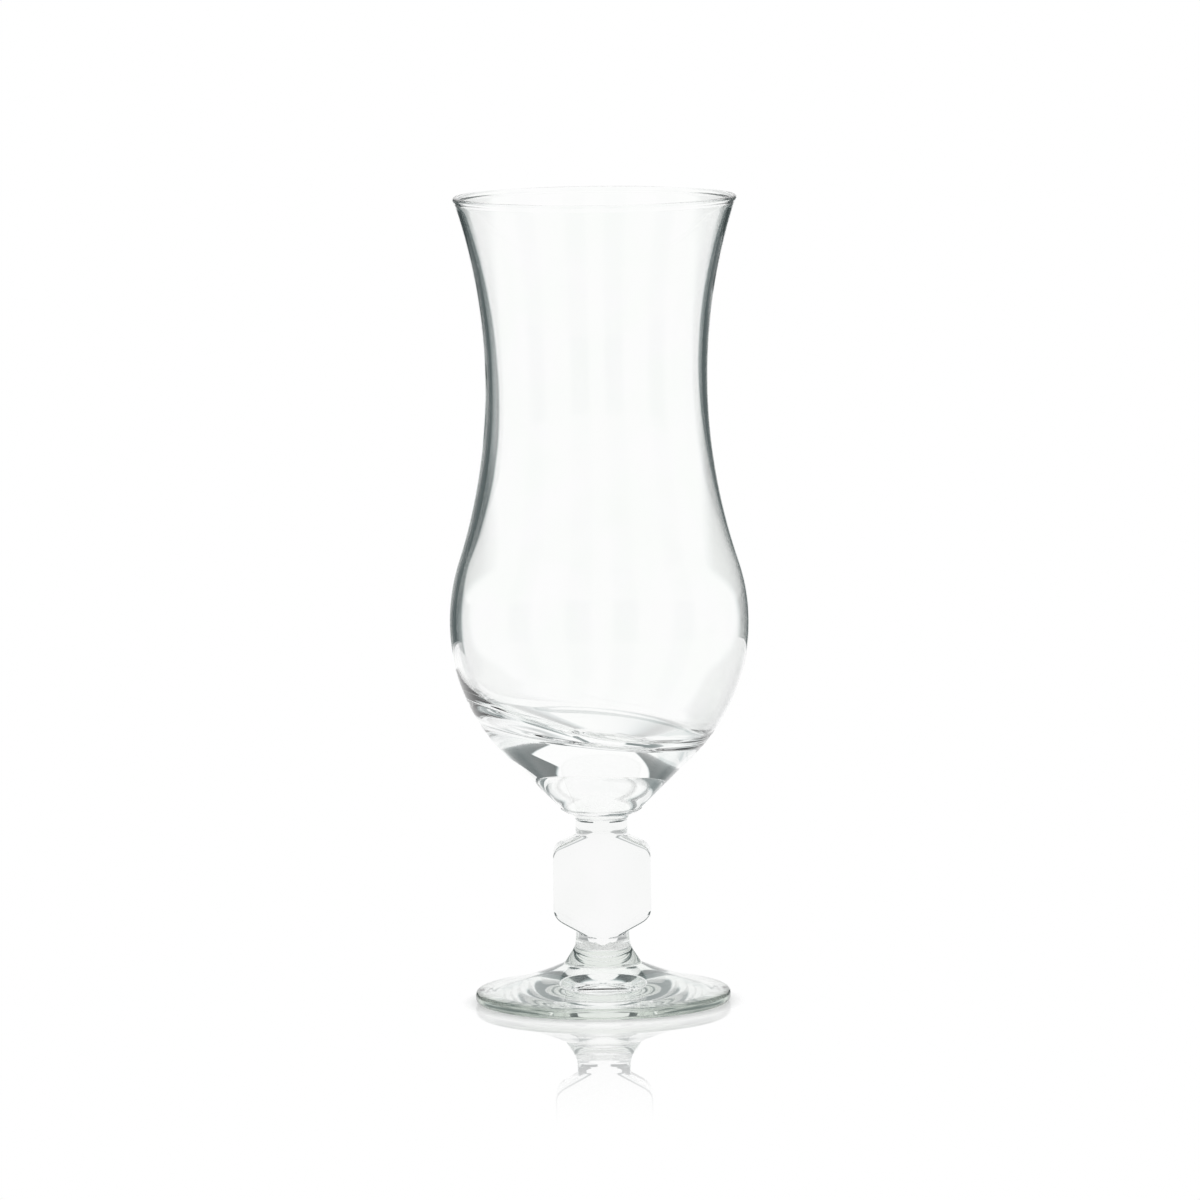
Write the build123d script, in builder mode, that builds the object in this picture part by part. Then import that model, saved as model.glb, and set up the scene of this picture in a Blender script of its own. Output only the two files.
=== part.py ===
"""Hurricane glass: a blown bowl, a pressed stem with a six-sided plaque, and a pressed foot.

Millimetres, +Z up, the origin at the centre of the ring that the glass stands on, the plaque's
faces towards -Y and +Y. The three pieces are fused hot at two flat seams. Each seam shows as
a fine crease round the glass, where the edges of the two pieces have softened and rounded.
"""

import os
from math import acos, atan2, cos, hypot, sin, sqrt

from build123d import *

# Foot: a disc that stands on its outer ring, with a hollow underneath
foot_radius = 34.2
foot_edge_height = 2.9
foot_edge_round = 1.2
foot_height = 10.2
foot_seam_radius = 10.4
foot_top_sag = 0.8
standing_ring_width = 5.0
hollow_depth = 2.2

# Stem: a collar on the foot, a turned neck, the plaque, a second neck and a flare under the bowl
collar_height = 3.4
collar_top_radius = 8.2
low_neck_radius = 7.2
low_neck_curve_height = 3.5
high_neck_radius = 6.9
high_neck_height = 1.1
flare_height = 2.5
flare_radius = 9.4
flare_lip_height = 0.8
flare_edge_height = 0.5

# Plaque: an upright six-sided block whose points run into the two necks
plaque_width = 26.1
plaque_depth = 15.0
plaque_side_height = 18.9
plaque_low_point = 7.2
plaque_high_point = 5.7
plaque_rise = 2.1
plaque_low_corner_round = 2.2
plaque_high_corner_round = 1.2
plaque_edge_round = 1.0

# Bowl: a cone that swells into the belly, a waist above it and a flared mouth
bowl_seam_radius = 10.9
belly_radius = 40.0
belly_rise = 50.0
belly_curve = 51.0
waist_radius = 29.6
waist_rise = 64.2
mouth_rise = 49.4
lip_round = 0.75
belly_wall = 1.1
waist_wall = 1.7
floor_thickness = 20.9
floor_corner_round = 4.0

# Both seams: how far the edges are rounded where two pieces meet
seam_crease = 0.3

# Heights up the glass, worked out from the sizes above
neck_crease_z = foot_height + collar_height
plaque_low_point_z = neck_crease_z + plaque_rise
plaque_low_corner_z = plaque_low_point_z + plaque_low_point
plaque_high_corner_z = plaque_low_corner_z + plaque_side_height
plaque_high_point_z = plaque_high_corner_z + plaque_high_point
low_neck_z = neck_crease_z + low_neck_curve_height
high_neck_z = plaque_high_point_z + high_neck_height
flare_z = high_neck_z + flare_height
flare_lip_z = flare_z + flare_lip_height
bowl_seam_z = flare_lip_z + flare_edge_height
floor_z = bowl_seam_z + floor_thickness
belly_z = bowl_seam_z + belly_rise
waist_z = belly_z + waist_rise
mouth_z = waist_z + mouth_rise


def side_curve(belly, waist, curve):
    """The upper side of the bowl for one face of its wall, as two arcs that touch.

    Gives the point where the belly's arc turns into the waist's arc, and the radius of the mouth
    at the middle of its lip. Each arc is upright at its own height, the belly's or the waist's.
    """
    narrowing = belly - waist
    centre_gap = (waist_rise**2 + narrowing**2) / (2 * narrowing)
    share = curve / centre_gap
    turn = (belly - share * narrowing, belly_z + share * waist_rise)
    waist_curve = centre_gap - curve
    mouth = waist + waist_curve - sqrt(waist_curve**2 - (mouth_rise - lip_round) ** 2)
    return turn, (mouth, mouth_z - lip_round)


def cone_end():
    """Where the straight cone from the stem's seam touches the belly's arc."""
    centre_r = belly_radius - belly_curve
    reach = hypot(bowl_seam_radius - centre_r, belly_rise)
    angle = atan2(-belly_rise, bowl_seam_radius - centre_r) + acos(belly_curve / reach)
    return (centre_r + belly_curve * cos(angle), belly_z + belly_curve * sin(angle))


# Foot, turned about Z
with BuildPart() as foot:
    with BuildSketch(Plane.XZ) as foot_section:
        with BuildLine():
            ring_inside = (foot_radius - standing_ring_width, 0)
            edge_low = (foot_radius, 0)
            edge_high = (foot_radius, foot_edge_height)
            seat_edge = (foot_seam_radius, foot_height)
            Line(ring_inside, edge_low)
            Line(edge_low, edge_high)
            SagittaArc(edge_high, seat_edge, foot_top_sag)
            Line(seat_edge, (0, foot_height))
            Line((0, foot_height), (0, hollow_depth))
            TangentArc((0, hollow_depth), ring_inside, tangent=(1, 0))
        make_face()
        for corner in (edge_low, edge_high):
            fillet(foot_section.vertices().sort_by_distance(corner)[0], foot_edge_round)
        fillet(foot_section.vertices().sort_by_distance(seat_edge)[0], seam_crease)
    revolve(axis=Axis.Z)

# Stem: the necks are turned about Z, and the plaque is pressed across them
with BuildPart() as stem:
    with BuildSketch(Plane.XZ) as stem_section:
        with BuildLine():
            foot_end = (foot_seam_radius, foot_height)
            neck_crease = (collar_top_radius, neck_crease_z)
            low_neck = (low_neck_radius, low_neck_z)
            high_neck = (high_neck_radius, high_neck_z)
            flare_edge = (flare_radius, flare_z)
            bowl_end = (bowl_seam_radius, bowl_seam_z)
            Line((0, foot_height), foot_end)
            Line(foot_end, neck_crease)
            TangentArc(low_neck, neck_crease, tangent=(0, -1))
            Line(low_neck, high_neck)
            TangentArc(high_neck, flare_edge, tangent=(0, 1))
            Polyline(flare_edge, (bowl_seam_radius, flare_lip_z), bowl_end, (0, bowl_seam_z))
            Line((0, bowl_seam_z), (0, foot_height))
        make_face()
        for corner in (foot_end, bowl_end):
            fillet(stem_section.vertices().sort_by_distance(corner)[0], seam_crease)
    revolve(axis=Axis.Z)

with BuildPart() as plaque:
    with BuildSketch(Plane.XZ) as plaque_face:
        half_width = plaque_width / 2
        low_corners = [(side * half_width, plaque_low_corner_z) for side in (-1, 1)]
        high_corners = [(side * half_width, plaque_high_corner_z) for side in (-1, 1)]
        with BuildLine():
            Polyline(
                (0, plaque_low_point_z),
                low_corners[1],
                high_corners[1],
                (0, plaque_high_point_z),
                high_corners[0],
                low_corners[0],
                close=True,
            )
        make_face()
        for corner in low_corners:
            fillet(plaque_face.vertices().sort_by_distance(corner)[0], plaque_low_corner_round)
        for corner in high_corners:
            fillet(plaque_face.vertices().sort_by_distance(corner)[0], plaque_high_corner_round)
    extrude(amount=plaque_depth / 2, both=True)
    fillet(plaque.faces().filter_by(Axis.Y).edges(), plaque_edge_round)

with stem:
    add(plaque.part)

# Bowl, turned about Z: the outer face from the seam up to the lip, the inner face down to the floor
with BuildPart() as bowl:
    with BuildSketch(Plane.XZ) as bowl_section:
        inner_belly = belly_radius - belly_wall
        inner_waist = waist_radius - waist_wall
        outer_turn, outer_mouth = side_curve(belly_radius, waist_radius, belly_curve)
        inner_curve = belly_curve - belly_wall
        inner_turn, inner_mouth = side_curve(inner_belly, inner_waist, inner_curve)
        floor_reach = sqrt(inner_curve**2 - (belly_z - floor_z) ** 2)
        with BuildLine():
            stem_edge = (bowl_seam_radius, bowl_seam_z)
            floor_edge = (belly_radius - belly_curve + floor_reach, floor_z)
            Line((0, bowl_seam_z), stem_edge)
            Line(stem_edge, cone_end())
            ThreePointArc(cone_end(), (belly_radius, belly_z), outer_turn)
            ThreePointArc(outer_turn, (waist_radius, waist_z), outer_mouth)
            Line(outer_mouth, inner_mouth)
            ThreePointArc(inner_mouth, (inner_waist, waist_z), inner_turn)
            ThreePointArc(inner_turn, (inner_belly, belly_z), floor_edge)
            Line(floor_edge, (0, floor_z))
            Line((0, floor_z), (0, bowl_seam_z))
        make_face()
        with Locations(((outer_mouth[0] + inner_mouth[0]) / 2, mouth_z - lip_round)):
            Circle(lip_round)
        fillet(bowl_section.vertices().sort_by_distance(stem_edge)[0], seam_crease)
        fillet(bowl_section.vertices().sort_by_distance(floor_edge)[0], floor_corner_round)
    revolve(axis=Axis.Z)

os.makedirs("parts", exist_ok=True)
for piece, label in ((foot, "foot"), (stem, "stem"), (bowl, "bowl")):
    piece.part.label = label
    export_step(piece.part, f"parts/{label}.step")
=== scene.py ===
"""Hurricane glass on a white studio board: a blown bowl, a pressed stem and a pressed foot, all clear glass.

Metres, +Z up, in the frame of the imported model. The three pieces replace the solids of the same names with
smooth surfaces that carry the unevenness of hot-worked glass.
"""

import math

import bpy
import numpy as np
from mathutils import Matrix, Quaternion, Vector


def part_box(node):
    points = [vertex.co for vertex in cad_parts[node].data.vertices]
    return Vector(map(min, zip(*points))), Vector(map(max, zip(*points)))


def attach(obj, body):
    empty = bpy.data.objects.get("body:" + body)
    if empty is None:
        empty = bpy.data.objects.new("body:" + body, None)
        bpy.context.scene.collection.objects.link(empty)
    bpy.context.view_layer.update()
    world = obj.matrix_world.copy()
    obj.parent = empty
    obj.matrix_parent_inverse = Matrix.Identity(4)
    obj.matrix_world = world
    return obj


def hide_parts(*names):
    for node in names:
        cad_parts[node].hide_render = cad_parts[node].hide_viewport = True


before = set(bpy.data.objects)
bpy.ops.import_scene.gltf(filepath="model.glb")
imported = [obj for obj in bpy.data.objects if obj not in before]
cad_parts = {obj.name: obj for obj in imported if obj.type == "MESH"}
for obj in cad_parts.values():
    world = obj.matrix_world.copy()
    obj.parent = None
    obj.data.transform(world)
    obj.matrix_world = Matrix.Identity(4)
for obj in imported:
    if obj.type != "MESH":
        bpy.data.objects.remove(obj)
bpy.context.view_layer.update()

# Sizes that the frame gives
_, foot_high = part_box("foot")
_, stem_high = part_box("stem")
_, bowl_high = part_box("bowl")
FOOT_RADIUS = foot_high.x
FOOT_SEAM_Z = foot_high.z
BOWL_SEAM_Z = stem_high.z
PLAQUE_HALF_WIDTH = stem_high.x
BELLY_RADIUS = bowl_high.x
MOUTH_Z = bowl_high.z

# Foot
FOOT_EDGE_HEIGHT = 0.0029
FOOT_EDGE_ROUND = 0.0012
FOOT_SEAM_RADIUS = 0.0104
FOOT_TOP_SAG = 0.0008
STANDING_RING_WIDTH = 0.0050
HOLLOW_DEPTH = 0.0022

# Stem: collar, necks and flare
COLLAR_TOP_RADIUS = 0.0082
COLLAR_HEIGHT = 0.0034
LOW_NECK_RADIUS = 0.0072
LOW_NECK_CURVE_HEIGHT = 0.0035
HIGH_NECK_RADIUS = 0.0069
HIGH_NECK_HEIGHT = 0.0011
FLARE_HEIGHT = 0.0025
FLARE_RADIUS = 0.0094
FLARE_LIP_HEIGHT = 0.0008

# Stem: plaque, how far its corners and edges are rounded at each end, and how the necks climb onto it
PLAQUE_HALF_DEPTH = 0.0075
PLAQUE_RISE = 0.0021
PLAQUE_LOW_POINT = 0.0072
PLAQUE_SIDE_HEIGHT = 0.0189
PLAQUE_HIGH_POINT = 0.0057
PLAQUE_LOW_CORNER_REACH, PLAQUE_HIGH_CORNER_REACH = 0.0026, 0.0022
PLAQUE_LOW_EDGE_REACH, PLAQUE_HIGH_EDGE_REACH = 0.0028, 0.0036
PLAQUE_SQUARENESS = 22
NECK_CLIMB = 0.0005
NECK_FILLET = 0.0010

# Bowl: outer and inner face
BOWL_SEAM_RADIUS = 0.0109
BELLY_RISE = 0.0500
BELLY_CURVE = 0.0510
WAIST_RADIUS = 0.0296
WAIST_RISE = 0.0642
LIP_ROUND = 0.00075
LIP_START, LIP_END = math.radians(-50), math.radians(203)
BELLY_WALL = 0.0011
WAIST_WALL = 0.0017
INNER_CURVE = BELLY_CURVE - BELLY_WALL

# Bowl: the slanting floor, its corner, and the inner face standing to one side below the waist
FLOOR_THICKNESS = 0.0213
FLOOR_SLANT_ACROSS, FLOOR_SLANT_BACK = -0.130, 0.050
FLOOR_CORNER, FLOOR_CORNER_LEFT = 0.0040, 0.0100
FLOOR_GRID_START, FLOOR_ROUND_FULL = math.radians(-3), math.radians(-28)
WALL_DRIFT, WALL_DRIFT_TOP, WALL_DRIFT_FADE = 0.00062, 0.158, 0.010

# Seams: how far their edges are rounded
SEAM_CREASE = 0.0003

# Distance at which two points are the same, and by which the necks' own rings keep clear of the plaque's
SAME_PLACE, CLEAR_OF_PLAQUE = 1e-7, 1e-5

# Points round each piece and along each stretch of it
BOWL_AROUND, FOOT_AROUND, BOARD_AROUND = 272, 480, 96
SEAM_POINTS, CREASE_POINTS = 4, 7
HOLLOW_POINTS, FOOT_EDGE_POINTS, FOOT_TOP_POINTS = 50, 14, 60
COLLAR_POINTS, LOW_CURVE_POINTS, NECK_POINTS, HIGH_CURVE_POINTS, FLARE_POINTS = 12, 22, 40, 20, 8
NECK_ROWS, SLOPE_ROWS, EDGE_ROWS, SIDE_ROWS = 12, 18, 12, 26
CONE_POINTS, BELLY_POINTS, INNER_BELLY_POINTS, WAIST_POINTS, LIP_POINTS = 20, 50, 24, 70, 22
FLOOR_RINGS = 100

# A quarter turn of the plaque: its points, and the degrees that some shares of them reach
QUARTER_POINTS = 81
QUARTER_SHARES, QUARTER_DEGREES = (0, 0.2, 0.65, 1), (0, 24, 36, 90)

# Glass: bending of light, its waves, the matt of handling and the matt in the hollow of the foot
GLASS_IOR = 1.52
WAVE_LENGTH, WAVE_DETAIL = 0.014, 1.0
BLOWN_WAVE, PRESSED_WAVE = 0.00003, 0.00001
TOUCH_SIZE, TOUCH_ROUGHNESS = 0.0015, 0.004
UNDERSIDE_ROUGHNESS = 0.03

# Tints of the glass, pale and deep, and the levels of noise between which matt and tint come in
FOOT_TINTS = "FBFCFB", "F6F9F6"
STEM_TINTS = "FAFAFA", "F6F7F6"
BOWL_TINTS = "FEFEFE", "FDFEFD"
RIM_TINT, RIM_TINT_WIDTH = "D0D8CF", 0.0028
TOUCH_NOISE, TINT_NOISE = (0.45, 0.75), (0.3, 0.7)

# Room: levels of light, degrees away from straight behind, heights as shares of a unit sphere
WINDOW_HALF, SWEEP_HALF, ARCH_CLOSING, WINDOW_BLUR = 28, 13, 40, 1
ARCH_START = 0.10, 0.20
HIDDEN_SHARE, TABLE_EDGE = 0.65, 0.03
FLAG_LEVEL, FLAG_TWICE_MIRRORED = 0.10, 0.22
FLAG_TINT = "E3FEFF"
LOW_CARD, HIGH_CARD, CARD_BLUR, CARD_LEVEL = 36, 68, 12, 0.97
CARD_LEAN = -0.10, 0.35
CEILING_START, CEILING_FULL = 0.58, 0.75
SCREEN_FIRST, SCREEN_SPACING, SCREEN_HALF, SCREEN_SHARE = 111, 50, 10, 0.22

# Board that the glass stands on: its mirror and its shade by distance from the middle
BOARD_RADIUS, BOARD_Z = 0.62, -0.0003
MIRROR_AT_FOOT, MIRROR_FULL, MIRROR_ROUGHNESS = 0.20, 0.70, 0.005
MIRROR_RISE, MIRROR_REACH = (0.036, 0.062), (0.062, 0.19)
SHADE_NEAR, SHADE_REACH = 0.60, (0.0338, 0.0385)

# Camera and light paths
CAMERA_DISTANCE, CAMERA_HEIGHT = 2.282, 0.3748
AIM = Vector((0.0003, 0.0, 0.1080))
CAMERA_ROLL = math.radians(-0.65)
LENS, SENSOR = 258.5, 36.0
GLASS_BOUNCES, MIRROR_BOUNCES = 32, 16


def srgb(code):
    """An sRGB hex code as linear red, green, blue and an alpha of 1, by the standard curve."""
    parts = np.array([int(code[i:i + 2], 16) for i in (0, 2, 4)]) / 255
    linear = np.where(parts <= 0.04045, parts / 12.92, ((parts + 0.055) / 1.055) ** 2.4)
    return (*linear.tolist(), 1.0)


WHITE = srgb("FFFFFF")
EASED = {"interpolation_type": "SMOOTHSTEP"}


def add_node(tree, kind, inputs=(), **settings):
    """Adds one shader node with its settings and inputs.

    The inputs come in the order of the node's sockets, or as a table by name or place. Each is a plain
    value, an output to link, or a node, which stands for its first output.
    """
    node = tree.nodes.new("ShaderNode" + kind)
    for name, value in settings.items():
        setattr(node, name, value)
    for place, value in inputs.items() if isinstance(inputs, dict) else enumerate(inputs):
        if isinstance(value, bpy.types.Node):
            value = value.outputs[0]
        if isinstance(value, bpy.types.NodeSocket):
            tree.links.new(value, node.inputs[place])
        else:
            node.inputs[place].default_value = value
    return node


# Outlines in the half plane of radius and height

def straight(start, end, count):
    """Points evenly spaced on a straight line."""
    return np.linspace(start, end, count)


def arc(centre, radius, start, end, count):
    """Points on a circle: centre + radius * (cos, sin) of angles evenly spaced from start to end."""
    angle = np.linspace(start, end, count)
    return np.stack([centre[0] + radius * np.cos(angle), centre[1] + radius * np.sin(angle)], axis=1)


def arc_between(centre, start, end, count):
    """The shorter arc round a centre from one point to another, both on the circle."""
    first = math.atan2(start[1] - centre[1], start[0] - centre[0])
    last = math.atan2(end[1] - centre[1], end[0] - centre[0])
    turn = (last - first + math.pi) % (2 * math.pi) - math.pi
    return arc(centre, math.dist(centre, start), first, first + turn, count)


def upright_arc(start, end, count):
    """An arc upright at its start: its centre is level with the start, and as far from it as from the end."""
    across, up = end[0] - start[0], end[1] - start[1]
    radius = (across**2 + up**2) / (2 * across)
    return arc_between((start[0] + radius, start[1]), start, end, count)


def sagging_arc(start, end, sag, count):
    """An arc that leaves its chord by sag in the middle, to the left on the way from start to end."""
    start, end = np.asarray(start), np.asarray(end)
    chord = end - start
    half = np.linalg.norm(chord) / 2
    radius = (half**2 + sag**2) / (2 * sag)
    left = np.array([-chord[1], chord[0]]) / (2 * half)
    along = np.linspace(-1, 1, count)[:, None]
    rise = np.sqrt(radius**2 - (along * half) ** 2) - (radius - sag)
    return (start + end) / 2 + along * chord / 2 + rise * left


def rounded_corner(before, corner, after, radius, count=CREASE_POINTS):
    """The arc that rounds a corner. It touches both sides at radius / tan(half the corner's angle)."""
    corner = np.asarray(corner)
    back, ahead = np.subtract(before, corner), np.subtract(after, corner)
    back, ahead = back / np.linalg.norm(back), ahead / np.linalg.norm(ahead)
    half = np.arccos(back @ ahead) / 2
    middle = (back + ahead) / np.linalg.norm(back + ahead)
    centre = corner + middle * radius / np.sin(half)
    reach = radius / np.tan(half)
    return arc_between(centre, corner + back * reach, corner + ahead * reach, count)


def outline(*stretches):
    """Stretches of an outline put end to end, with the points that two stretches share kept once."""
    points = np.concatenate(stretches)
    steps = np.linalg.norm(np.diff(points, axis=0), axis=1)
    return points[np.append(True, steps > SAME_PLACE)]


# Meshes

def full_turn(count):
    """Angles evenly spaced round a full turn. The end is left out, as it is the start."""
    return np.linspace(0, 2 * np.pi, count, endpoint=False)


def ring_grid(profile, angles):
    """A profile (radius, height) carried round Z: x = r cos a, y = r sin a, z = height, as rows of rings."""
    radius, height = profile[:, :1], profile[:, 1:]
    level = np.broadcast_to(height, (len(profile), len(angles)))
    return np.stack([radius * np.cos(angles), radius * np.sin(angles), level], axis=2)


def glass_piece(name, rings, glass, inside_seam):
    """A closed surface from rows of rings. The first and the last row are drawn together into poles.

    Faces between rings i and i + 1 are quads, the two ends are fans of triangles, and rows where
    inside_seam is true get the second material, the inside of a fused seam.
    """
    rows, around = rings.shape[:2]
    points = np.concatenate([rings[:1, 0], rings[1:-1].reshape(-1, 3), rings[-1:, 0]])
    here = np.arange(around)
    beside = np.roll(here, -1)
    row = 1 + around * np.arange(rows - 3)[:, None]
    quads = np.stack([row + here, row + beside, row + around + beside, row + around + here], axis=2)
    top = 1 + around * (rows - 3)
    low_fan = np.stack([np.zeros_like(here), 1 + beside, 1 + here], axis=1)
    high_fan = np.stack([top + here, top + beside, np.full_like(here, len(points) - 1)], axis=1)
    corners = np.concatenate([low_fan.ravel(), quads.ravel(), high_fan.ravel()])
    sizes = np.concatenate([np.full(around, 3), np.full(quads.size // 4, 4), np.full(around, 3)])
    mesh = bpy.data.meshes.new(name)
    mesh.vertices.add(len(points))
    mesh.vertices.foreach_set("co", points.astype(np.float32).ravel())
    mesh.loops.add(len(corners))
    mesh.loops.foreach_set("vertex_index", corners)
    mesh.polygons.add(len(sizes))
    mesh.polygons.foreach_set("loop_start", np.append(0, np.cumsum(sizes)[:-1]))
    seam_rows = inside_seam[:-1] & inside_seam[1:]
    mesh.polygons.foreach_set("material_index", np.repeat(seam_rows, around).astype(np.int32))
    mesh.update(calc_edges=True)
    mesh.validate()
    mesh.shade_smooth()
    mesh.materials.append(glass)
    mesh.materials.append(fused_seam)
    piece = bpy.data.objects.new(name, mesh)
    bpy.context.collection.objects.link(piece)
    return piece


# Materials

def clear_glass(name, tints, wave):
    """Soda-lime glass, fire-polished, with a trace of green-grey from iron in the sand.

    Slow noise gives the waves of hot-worked glass, and a tint that comes and goes from pale to deep. Fine
    noise gives the faint matt that handling leaves.
    """
    material = bpy.data.materials.new(name)
    material.use_nodes = True
    tree = material.node_tree
    shader = tree.nodes["Principled BSDF"]
    shader.inputs["Transmission Weight"].default_value = 1.0
    shader.inputs["IOR"].default_value = GLASS_IOR
    pale, deep = srgb(tints[0]), srgb(tints[1])
    place = add_node(tree, "TexCoord").outputs["Object"]
    slow = add_node(tree, "TexNoise", {"Vector": place, "Scale": 1 / WAVE_LENGTH, "Detail": WAVE_DETAIL})
    fine = add_node(tree, "TexNoise", {"Vector": place, "Scale": 1 / TOUCH_SIZE})
    bump = add_node(tree, "Bump", {"Height": slow, "Distance": wave})
    touched = add_node(tree, "MapRange", (fine, *TOUCH_NOISE, 0, TOUCH_ROUGHNESS), **EASED)
    share = add_node(tree, "MapRange", (slow, *TINT_NOISE, 0, 1), **EASED)
    tint = add_node(tree, "Mix", {0: share, 6: pale, 7: deep}, data_type="RGBA")
    tree.links.new(bump.outputs[0], shader.inputs["Normal"])
    tree.links.new(touched.outputs[0], shader.inputs["Roughness"])
    tree.links.new(tint.outputs[2], shader.inputs["Base Color"])
    return material


def foot_glass():
    """Clear glass whose tint deepens to green-grey in the rim, where light runs along the disc.

    The hollow underneath, which lay on the press, is left a little matt.
    """
    material = clear_glass("pressed_foot_glass", FOOT_TINTS, PRESSED_WAVE)
    tree = material.node_tree
    shader = tree.nodes["Principled BSDF"]
    clear = shader.inputs["Base Color"].links[0].from_socket
    touched = shader.inputs["Roughness"].links[0].from_socket
    place = add_node(tree, "TexCoord").outputs["Object"]
    height = add_node(tree, "SeparateXYZ", [place]).outputs["Z"]
    flat = add_node(tree, "VectorMath", (place, (1, 1, 0)), operation="MULTIPLY")
    radius = add_node(tree, "VectorMath", [flat], operation="LENGTH").outputs["Value"]
    rim = add_node(tree, "MapRange", (radius, FOOT_RADIUS - RIM_TINT_WIDTH, FOOT_RADIUS, 0, 1), **EASED)
    tint = add_node(tree, "Mix", {0: rim, 6: clear, 7: srgb(RIM_TINT)}, data_type="RGBA")
    under = add_node(tree, "Math", (height, HOLLOW_DEPTH), operation="LESS_THAN")
    within = add_node(tree, "Math", (radius, FOOT_RADIUS - STANDING_RING_WIDTH), operation="LESS_THAN")
    hollow = add_node(tree, "Math", (under, within), operation="MULTIPLY")
    pressed = add_node(tree, "Math", (hollow, UNDERSIDE_ROUGHNESS), operation="MULTIPLY")
    matt = add_node(tree, "Math", (pressed, touched), operation="MAXIMUM")
    tree.links.new(tint.outputs[2], shader.inputs["Base Color"])
    tree.links.new(matt.outputs[0], shader.inputs["Roughness"])
    return material


def seam_inside():
    """Inside a fused seam there is glass on both sides, so light goes straight through."""
    material = bpy.data.materials.new("fused_glass_seam")
    material.use_nodes = True
    tree = material.node_tree
    tree.nodes.remove(tree.nodes["Principled BSDF"])
    clear = add_node(tree, "BsdfTransparent")
    tree.links.new(clear.outputs[0], tree.nodes["Material Output"].inputs["Surface"])
    return material


fused_seam = seam_inside()


def lacquered_board():
    """White lacquered board, laid out by distance from the middle.

    There is shade under the foot and just past its edge, then a mirror that grows away from the foot and
    fades out again, and plain white beyond.
    """
    material = bpy.data.materials.new("white_lacquered_board")
    material.use_nodes = True
    tree = material.node_tree
    tree.nodes.remove(tree.nodes["Principled BSDF"])
    place = add_node(tree, "TexCoord").outputs["Object"]
    distance = add_node(tree, "VectorMath", [place], operation="LENGTH").outputs["Value"]
    rising = add_node(tree, "MapRange", (distance, *MIRROR_RISE, MIRROR_AT_FOOT, MIRROR_FULL), **EASED)
    fading = add_node(tree, "MapRange", (distance, *MIRROR_REACH, MIRROR_FULL, 0), **EASED)
    gloss = add_node(tree, "Math", (rising, fading), operation="MINIMUM")
    shade = add_node(tree, "MapRange", (distance, *SHADE_REACH, SHADE_NEAR, 0), **EASED)
    white = add_node(tree, "Emission", {"Color": WHITE, "Strength": 1.0})
    matt = add_node(tree, "BsdfDiffuse", {"Color": WHITE})
    mirror = add_node(tree, "BsdfGlossy", {"Color": WHITE, "Roughness": MIRROR_ROUGHNESS})
    body = add_node(tree, "MixShader", (shade, white, matt))
    surface = add_node(tree, "MixShader", (gloss, body, mirror))
    tree.links.new(surface.outputs[0], tree.nodes["Material Output"].inputs["Surface"])
    return material


# Light

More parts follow.
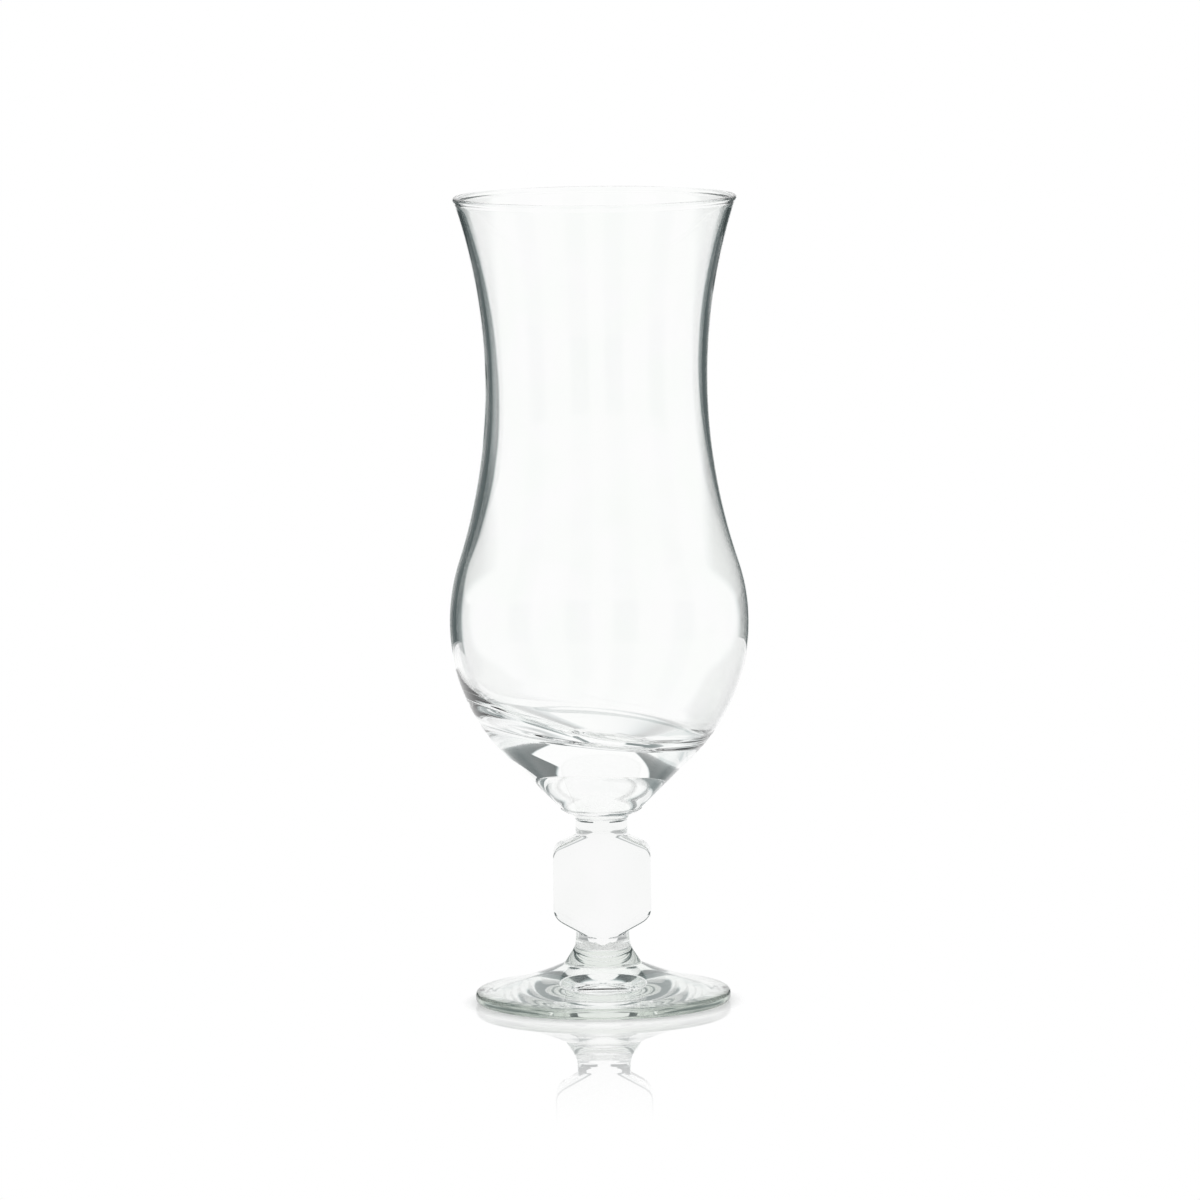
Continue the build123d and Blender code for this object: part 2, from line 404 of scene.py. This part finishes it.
def studio_world():
    """White for the camera. The glass sees a room, laid out by degrees from straight behind and by height.

    A white window stands behind, narrow low down and wider above, and closes to an arch by the square of the
    height. Beside it is a dark flag on each side, brighter for light mirrored twice or more. White cards follow
    round to the front and start further round the higher they are, under a white ceiling. Light mirrored once
    in the glass that leaves it below the table's edge sees a share of the window. Two dim screens on each
    side towards the front, only for light that went through glass, give it an edge from behind.
    """
    world = bpy.data.worlds.new("studio")
    world.use_nodes = True
    tree = world.node_tree
    ray = add_node(tree, "LightPath").outputs
    axes = add_node(tree, "SeparateXYZ", [add_node(tree, "TexCoord").outputs["Generated"]]).outputs
    up = axes["Z"]
    azimuth = add_node(tree, "Math", (axes["X"], axes["Y"]), operation="ARCTAN2")
    either_side = add_node(tree, "Math", [azimuth], operation="ABSOLUTE")
    off = add_node(tree, "Math", [either_side], operation="DEGREES")

    mirrored_once = add_node(tree, "Math", (ray["Glossy Depth"], 1.0), operation="COMPARE")
    through = add_node(tree, "Math", (ray["Transmission Depth"], 0.5), operation="GREATER_THAN")
    low = add_node(tree, "Math", (up, TABLE_EDGE), operation="LESS_THAN")
    inside = add_node(tree, "Math", (mirrored_once, through), operation="MULTIPLY")
    hidden = add_node(tree, "Math", (inside, low), operation="MULTIPLY")

    square = add_node(tree, "Math", (up, up), operation="MULTIPLY")
    closing = add_node(tree, "Math", (square, ARCH_CLOSING), operation="MULTIPLY")
    half_width = add_node(tree, "MapRange", (up, *ARCH_START, SWEEP_HALF, WINDOW_HALF), **EASED)
    arch = add_node(tree, "Math", (half_width, closing), operation="SUBTRACT")
    past_arch = add_node(tree, "Math", (off, arch), operation="SUBTRACT")
    pane = add_node(tree, "MapRange", (past_arch, -WINDOW_BLUR, WINDOW_BLUR, 1, 0), **EASED)
    seen = add_node(tree, "MapRange", (hidden, 0, 1, 1, 1 - HIDDEN_SHARE), **EASED)
    window = add_node(tree, "Math", (pane, seen), operation="MULTIPLY")

    screen_edge = SCREEN_HALF - WINDOW_BLUR, SCREEN_HALF + WINDOW_BLUR
    round_to = add_node(tree, "Math", (off, SCREEN_FIRST), operation="SUBTRACT")
    past_screen = add_node(tree, "Math", (round_to, SCREEN_SPACING / 2), operation="PINGPONG")
    stripes = add_node(tree, "MapRange", (past_screen, *screen_edge, SCREEN_SHARE, 0), **EASED)
    front = add_node(tree, "Math", (off, SCREEN_FIRST - SCREEN_SPACING / 2), operation="GREATER_THAN")
    in_front = add_node(tree, "Math", (stripes, front), operation="MULTIPLY")
    screens = add_node(tree, "Math", (in_front, through), operation="MULTIPLY")

    card_edge = add_node(tree, "MapRange", (up, *CARD_LEAN, LOW_CARD, HIGH_CARD), **EASED)
    past_edge = add_node(tree, "Math", (off, card_edge), operation="SUBTRACT")
    white_cards = add_node(tree, "MapRange", (past_edge, 0, CARD_BLUR, 0, CARD_LEVEL), **EASED)
    unscreened = add_node(tree, "Math", (1.0, screens), operation="SUBTRACT")
    cards = add_node(tree, "Math", (white_cards, unscreened), operation="MULTIPLY")

    ceiling = add_node(tree, "MapRange", (up, CEILING_START, CEILING_FULL, 0, 1), **EASED)
    flag_levels = FLAG_LEVEL, FLAG_TWICE_MIRRORED
    level = add_node(tree, "MapRange", (ray["Glossy Depth"], 1, 2, *flag_levels), **EASED)
    for light in (window, cards, ceiling, ray["Is Camera Ray"]):
        level = add_node(tree, "Math", (level, light), operation="MAXIMUM")
    colour = add_node(tree, "Mix", {0: level, 6: srgb(FLAG_TINT), 7: WHITE}, data_type="RGBA")
    background = tree.nodes["Background"]
    tree.links.new(colour.outputs[2], background.inputs["Color"])
    tree.links.new(level.outputs[0], background.inputs["Strength"])
    return world


# Foot

def foot_outline():
    """From the middle of the hollow out to the standing ring, round the edge and up the top to the seam.

    The hollow's arc has its centre on the axis, at a radius of (reach^2 + depth^2) / (2 * depth). Points of the
    top near its two ends give its direction at the edge and at the seam.
    """
    ring_inside = (FOOT_RADIUS - STANDING_RING_WIDTH, 0.0)
    edge_low, edge_high = (FOOT_RADIUS, 0.0), (FOOT_RADIUS, FOOT_EDGE_HEIGHT)
    seat = (FOOT_SEAM_RADIUS, FOOT_SEAM_Z)
    hollow_radius = (ring_inside[0] ** 2 + HOLLOW_DEPTH**2) / (2 * HOLLOW_DEPTH)
    hollow_centre = (0.0, HOLLOW_DEPTH - hollow_radius)
    hollow = arc_between(hollow_centre, (0.0, HOLLOW_DEPTH), ring_inside, HOLLOW_POINTS)
    top = sagging_arc(edge_high, seat, FOOT_TOP_SAG, FOOT_TOP_POINTS)
    low_round = rounded_corner(ring_inside, edge_low, edge_high, FOOT_EDGE_ROUND, FOOT_EDGE_POINTS)
    high_round = rounded_corner(edge_low, edge_high, top[4], FOOT_EDGE_ROUND, FOOT_EDGE_POINTS)
    crease = rounded_corner(top[-3], seat, (0.0, FOOT_SEAM_Z), SEAM_CREASE)
    disc = straight(crease[-1], (0.0, FOOT_SEAM_Z), SEAM_POINTS)
    clear_of_edge = top[:, 0] < high_round[-1, 0]
    clear_of_seat = top[:, 0] > crease[0, 0]
    return outline(hollow, low_round, high_round, top[clear_of_edge & clear_of_seat], crease, disc)


def make_foot():
    """The foot's outline turned about Z."""
    profile = foot_outline()
    inside_seam = profile[:, 1] > FOOT_SEAM_Z - SAME_PLACE
    return glass_piece("foot", ring_grid(profile, full_turn(FOOT_AROUND)), foot_glass(), inside_seam)


# Stem

def stem_outline():
    """The turned necks, from the seam on the foot up to the seam under the bowl."""
    foot_end = (FOOT_SEAM_RADIUS, FOOT_SEAM_Z)
    neck_crease = (COLLAR_TOP_RADIUS, FOOT_SEAM_Z + COLLAR_HEIGHT)
    low_neck = (LOW_NECK_RADIUS, neck_crease[1] + LOW_NECK_CURVE_HEIGHT)
    high_point = neck_crease[1] + PLAQUE_RISE + PLAQUE_LOW_POINT + PLAQUE_SIDE_HEIGHT + PLAQUE_HIGH_POINT
    high_neck = (HIGH_NECK_RADIUS, high_point + HIGH_NECK_HEIGHT)
    flare_edge = (FLARE_RADIUS, high_neck[1] + FLARE_HEIGHT)
    flare_lip = (BOWL_SEAM_RADIUS, flare_edge[1] + FLARE_LIP_HEIGHT)
    bowl_end = (BOWL_SEAM_RADIUS, BOWL_SEAM_Z)
    low_crease = rounded_corner((0.0, FOOT_SEAM_Z), foot_end, neck_crease, SEAM_CREASE)
    high_crease = rounded_corner(flare_lip, bowl_end, (0.0, BOWL_SEAM_Z), SEAM_CREASE)
    return outline(
        straight((0.0, FOOT_SEAM_Z), low_crease[0], SEAM_POINTS),
        low_crease,
        straight(low_crease[-1], neck_crease, COLLAR_POINTS),
        upright_arc(low_neck, neck_crease, LOW_CURVE_POINTS)[::-1],
        straight(low_neck, high_neck, NECK_POINTS),
        upright_arc(high_neck, flare_edge, HIGH_CURVE_POINTS),
        straight(flare_edge, flare_lip, FLARE_POINTS),
        high_crease,
        straight(high_crease[-1], (0.0, BOWL_SEAM_Z), SEAM_POINTS),
    )


def plaque_angles():
    """Angles of one ring: a quarter turn, close together at the upright edges, and its three mirrors."""
    share = np.linspace(0, 1, QUARTER_POINTS)
    quarter = np.interp(share, QUARTER_SHARES, np.radians(QUARTER_DEGREES))
    half = np.append(quarter, np.pi - quarter[-2::-1])
    return np.append(half, np.pi + half[1:-1])


def plaque_section(angles, half_width, half_depth):
    """Distance from the axis to a rounded rectangle, and the share of it that faces sideways.

    With w = |cos a / half width|^q and d = |sin a / half depth|^q, the distance is (w + d)^(-1/q) and
    the share is w / (w + d). The squareness q sets how sharp the upright edges are.
    """
    wide = (np.abs(np.cos(angles)) / half_width) ** PLAQUE_SQUARENESS
    deep = (np.abs(np.sin(angles)) / half_depth) ** PLAQUE_SQUARENESS
    return (wide + deep) ** (-1 / PLAQUE_SQUARENESS), wide / (wide + deep)


def plaque_end(angles, necks, start_z, point_z, fall, corner_reach, edge_reach):
    """Rows of (radius, height) from a neck out to the full section of the plaque, at one of its ends.

    The end has two slopes, z = point + fall * |x| / half width. The rows run along the neck up to the
    slopes, out along the slopes, and round the edge. There an angle t grows to 90 degrees: the sides
    stand in by reach * (1 - sin t) and the height moves on by reach * (1 - cos t).
    """
    way = math.copysign(1, fall)
    steepness = fall * np.abs(np.cos(angles)) / PLAQUE_HALF_WIDTH

    def neck_radius(height):
        """The radius of the necks at a height, read off their outline."""
        return np.interp(height, necks[:, 1], necks[:, 0])

    meeting = point_z + steepness * neck_radius(point_z)
    meeting = point_z + steepness * neck_radius(meeting)
    neck = neck_radius(meeting)
    inset, _ = plaque_section(angles, PLAQUE_HALF_WIDTH - corner_reach, PLAQUE_HALF_DEPTH - edge_reach)
    climb = way * NECK_CLIMB * np.clip(1 - (inset - neck) / NECK_FILLET, 0, 1)
    along_neck = np.linspace(0, 1, NECK_ROWS)[:, None]
    neck_z = start_z + along_neck * (meeting - climb - start_z)
    neck_r = neck_radius(neck_z)
    out = np.linspace(0, 1, SLOPE_ROWS)[1:, None]
    slope_r = neck_r[-1] + out * (np.maximum(inset, neck) - neck_r[-1])
    slope_z = point_z + steepness * slope_r - climb * (1 - out)
    turn = np.linspace(0, math.pi / 2, EDGE_ROWS)[1:, None]
    still_in = 1 - np.sin(turn)
    edge_r, sideways = plaque_section(
        angles, PLAQUE_HALF_WIDTH - corner_reach * still_in, PLAQUE_HALF_DEPTH - edge_reach * still_in
    )
    edge_r = np.maximum(edge_r, neck)
    reach = corner_reach * sideways + edge_reach * (1 - sideways)
    edge_z = point_z + steepness * edge_r + way * reach * (1 - np.cos(turn))
    return np.concatenate([neck_r, slope_r, edge_r]), np.concatenate([neck_z, slope_z, edge_z])


def make_stem():
    """The necks with the plaque pressed across them, as rings up the stem.

    The plaque's rows start on the necks, twice the climb away from its lower and its upper point.
    """
    necks = stem_outline()
    angles = plaque_angles()
    low_point = FOOT_SEAM_Z + COLLAR_HEIGHT + PLAQUE_RISE
    high_point = low_point + PLAQUE_LOW_POINT + PLAQUE_SIDE_HEIGHT + PLAQUE_HIGH_POINT
    low_start, high_start = low_point - 2 * NECK_CLIMB, high_point + 2 * NECK_CLIMB
    low_reach = PLAQUE_LOW_CORNER_REACH, PLAQUE_LOW_EDGE_REACH
    high_reach = PLAQUE_HIGH_CORNER_REACH, PLAQUE_HIGH_EDGE_REACH
    low_r, low_z = plaque_end(angles, necks, low_start, low_point, PLAQUE_LOW_POINT, *low_reach)
    high_r, high_z = plaque_end(angles, necks, high_start, high_point, -PLAQUE_HIGH_POINT, *high_reach)
    upward = np.linspace(0, 1, SIDE_ROWS)[1:-1, None]
    side_z = low_z[-1] + upward * (high_z[-1] - low_z[-1])
    side_r = np.broadcast_to(low_r[-1], side_z.shape)
    radius = np.concatenate([low_r, side_r, high_r[::-1]])
    height = np.concatenate([low_z, side_z, high_z[::-1]])
    plaque = np.stack([radius * np.cos(angles), radius * np.sin(angles), height], axis=2)
    below = necks[necks[:, 1] < low_start - CLEAR_OF_PLAQUE]
    above = necks[necks[:, 1] > high_start + CLEAR_OF_PLAQUE]
    rings = np.concatenate([ring_grid(below, angles), plaque, ring_grid(above, angles)])
    level = rings[:, 0, 2]
    inside_seam = (level < FOOT_SEAM_Z + SAME_PLACE) | (level > BOWL_SEAM_Z - SAME_PLACE)
    glass = clear_glass("pressed_stem_glass", STEM_TINTS, PRESSED_WAVE)
    return glass_piece("stem", rings, glass, inside_seam)


# Bowl

def side_arcs(belly, waist, curve, belly_z, waist_z):
    """The belly's arc and the waist's arc of one face of the wall, which touch each other.

    Both are upright at their own height. With d the narrowing and h the rise between the two heights,
    their centres lie (h^2 + d^2) / 2d apart, and they touch on the line between the centres. Gives the
    belly's centre, the place where they touch, the waist's centre and the waist's radius.
    """
    narrowing, rise = belly - waist, waist_z - belly_z
    gap = (rise**2 + narrowing**2) / (2 * narrowing)
    turn = (belly - narrowing * curve / gap, belly_z + rise * curve / gap)
    return (belly - curve, belly_z), turn, (waist + gap - curve, waist_z), gap - curve


def bowl_outline():
    """The outer face from the seam over the lip, and the inner face down to where the floor's rings start.

    A straight cone leaves the seam and touches the belly's arc. The belly's and the waist's arcs follow, and
    the lip is a round on the middle of the wall.
    """
    belly_z = BOWL_SEAM_Z + BELLY_RISE
    waist_z = belly_z + WAIST_RISE
    lip_z = MOUTH_Z - LIP_ROUND
    seam_edge = (BOWL_SEAM_RADIUS, BOWL_SEAM_Z)
    belly_centre, turn, waist_centre, waist_curve = side_arcs(
        BELLY_RADIUS, WAIST_RADIUS, BELLY_CURVE, belly_z, waist_z
    )
    inner_centre, inner_turn, inner_waist_centre, inner_waist_curve = side_arcs(
        BELLY_RADIUS - BELLY_WALL, WAIST_RADIUS - WAIST_WALL, INNER_CURVE, belly_z, waist_z
    )
    to_seam = math.atan2(seam_edge[1] - belly_z, seam_edge[0] - belly_centre[0])
    cone = to_seam + math.acos(BELLY_CURVE / math.dist(seam_edge, belly_centre))
    cone_end = (belly_centre[0] + BELLY_CURVE * math.cos(cone), belly_z + BELLY_CURVE * math.sin(cone))
    mouth = waist_centre[0] - math.sqrt(waist_curve**2 - (lip_z - waist_z) ** 2)
    inner_mouth = inner_waist_centre[0] - math.sqrt(inner_waist_curve**2 - (lip_z - waist_z) ** 2)
    lip = arc(((mouth + inner_mouth) / 2, lip_z), LIP_ROUND, LIP_START, LIP_END, LIP_POINTS)
    outer_waist = arc_between(waist_centre, turn, (mouth, lip_z), WAIST_POINTS)
    inner_waist = arc_between(inner_waist_centre, (inner_mouth, lip_z), inner_turn, WAIST_POINTS)
    crease = rounded_corner((0.0, BOWL_SEAM_Z), seam_edge, cone_end, SEAM_CREASE)
    outer = outline(
        straight((0.0, BOWL_SEAM_Z), crease[0], SEAM_POINTS),
        crease,
        straight(crease[-1], cone_end, CONE_POINTS),
        arc_between(belly_centre, cone_end, turn, BELLY_POINTS),
        outer_waist[outer_waist[:, 1] < lip[0, 1]],
        lip,
    )
    turn_angle = math.asin((inner_turn[1] - belly_z) / INNER_CURVE)
    inner = outline(
        inner_waist[inner_waist[:, 1] < lip[-1, 1]],
        arc(inner_centre, INNER_CURVE, turn_angle, FLOOR_GRID_START, INNER_BELLY_POINTS),
    )
    return outer, inner


def smooth_maximum(first, second, blend):
    """The larger of two values, raised by (blend - difference)^2 / (4 * blend) where they differ by less."""
    near = np.maximum(blend - np.abs(first - second), 0)
    return np.maximum(first, second) + near**2 / (4 * blend)


def floor_rings(angles):
    """The lower cavity: at each point the higher of the wall and the slanting floor, rounded where they meet.

    The wall is the inner belly arc at an angle a, r = centre + curve * cos(a), z = belly + curve * sin(a). The
    floor is the plane z = floor + slant across * x + slant back * y. The rounding is widest at the left, and it
    fades out up the wall.
    """
    centre = BELLY_RADIUS - BELLY_CURVE
    belly = np.linspace(FLOOR_GRID_START, -math.acos(-centre / INNER_CURVE), FLOOR_RINGS)[1:, None]
    radius = np.maximum(centre + INNER_CURVE * np.cos(belly), 0)
    x, y = radius * np.cos(angles), radius * np.sin(angles)
    wall = BOWL_SEAM_Z + BELLY_RISE + INNER_CURVE * np.sin(belly)
    bottom = BOWL_SEAM_Z + FLOOR_THICKNESS + FLOOR_SLANT_ACROSS * x + FLOOR_SLANT_BACK * y
    leftward = (1 - np.cos(angles)) / 2
    rounded = smooth_maximum(wall, bottom, FLOOR_CORNER + FLOOR_CORNER_LEFT * leftward**2)
    sharp = np.maximum(wall, bottom)
    share = np.clip((belly - FLOOR_GRID_START) / (FLOOR_ROUND_FULL - FLOOR_GRID_START), 0, 1)
    share = share * share * (3 - 2 * share)
    return np.stack([x, y, sharp + share * (rounded - sharp)], axis=2)


def make_bowl():
    """The bowl's outline turned about Z, closed by the floor.

    Below the waist the inner face stands to one side, by drift / (1 + e^((z - top) / fade)).
    """
    outer, inner = bowl_outline()
    angles = full_turn(BOWL_AROUND)
    rings = np.concatenate([ring_grid(np.concatenate([outer, inner]), angles), floor_rings(angles)])
    inside = rings[len(outer):]
    inside[:, :, 0] += WALL_DRIFT / (1 + np.exp((inside[:, :, 2] - WALL_DRIFT_TOP) / WALL_DRIFT_FADE))
    inside_seam = np.arange(len(rings)) < np.count_nonzero(outer[:, 1] < BOWL_SEAM_Z + SAME_PLACE)
    glass = clear_glass("blown_bowl_glass", BOWL_TINTS, BLOWN_WAVE)
    return glass_piece("bowl", rings, glass, inside_seam)


# Board

def make_board():
    """A flat disc just under the standing ring, as one face."""
    turn = full_turn(BOARD_AROUND)
    points = np.stack(
        [BOARD_RADIUS * np.cos(turn), BOARD_RADIUS * np.sin(turn), np.full_like(turn, BOARD_Z)], axis=1
    )
    mesh = bpy.data.meshes.new("studio_floor")
    mesh.from_pydata(points.tolist(), [], [list(range(BOARD_AROUND))])
    mesh.materials.append(lacquered_board())
    board = bpy.data.objects.new("studio_floor", mesh)
    bpy.context.collection.objects.link(board)
    return board


# The glass on its board

for piece, node in ((make_foot(), "foot"), (make_stem(), "stem"), (make_bowl(), "bowl")):
    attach(piece, "root")
    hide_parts(node)
floor = make_board()

# Scene and camera

scene = bpy.context.scene
scene.world = studio_world()
scene.view_settings.view_transform = "Standard"
scene.cycles.max_bounces = GLASS_BOUNCES
scene.cycles.transmission_bounces = GLASS_BOUNCES
scene.cycles.glossy_bounces = MIRROR_BOUNCES
scene.cycles.transparent_max_bounces = GLASS_BOUNCES

camera_data = bpy.data.cameras.new("camera")
camera_data.sensor_width = SENSOR
camera_data.lens = LENS
camera = bpy.data.objects.new("camera", camera_data)
camera.location = (AIM.x, -CAMERA_DISTANCE, CAMERA_HEIGHT)
camera.rotation_mode = "QUATERNION"
upright = (AIM - camera.location).to_track_quat("-Z", "Y")
camera.rotation_quaternion = upright @ Quaternion((0, 0, 1), CAMERA_ROLL)
bpy.context.collection.objects.link(camera)
scene.camera = camera
